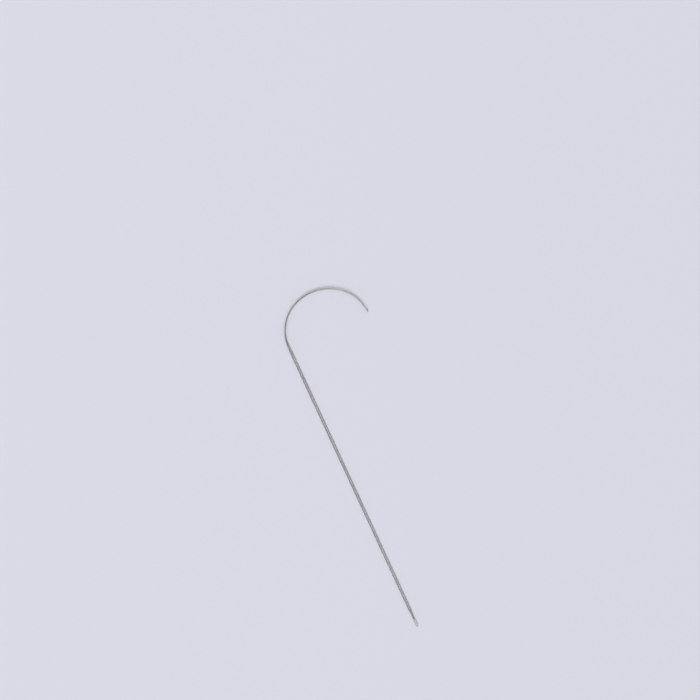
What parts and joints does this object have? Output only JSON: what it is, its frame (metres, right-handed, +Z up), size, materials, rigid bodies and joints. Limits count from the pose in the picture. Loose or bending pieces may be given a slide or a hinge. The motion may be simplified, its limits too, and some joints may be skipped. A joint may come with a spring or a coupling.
{
  "type": "curved big eye beading needle",
  "caption": "Fine twin-wire needle soldered at its ends, so that its whole length is the eye, with a hooked nose and a straight tail.",
  "frame": {"origin": "middle of the needle's footprint, on the surface that it lies on", "axes": "+Y along the stem from the tail to the crown of the hook, +X from the stem towards the nose, +Z up from the surface"},
  "size_m": [0.0228, 0.09, 0.0007],
  "materials": {
    "drawn_steel": "drawn stainless wire, satin, with fine marks along its length",
    "silver_solder": "soft silver solder, slightly dull, ground bright at the points"
  },
  "bodies": {
    "root": {"lower_wire": "drawn_steel", "upper_wire": "drawn_steel", "tail_solder": "silver_solder", "nose_solder": "silver_solder"}
  },
  "joints": []
}
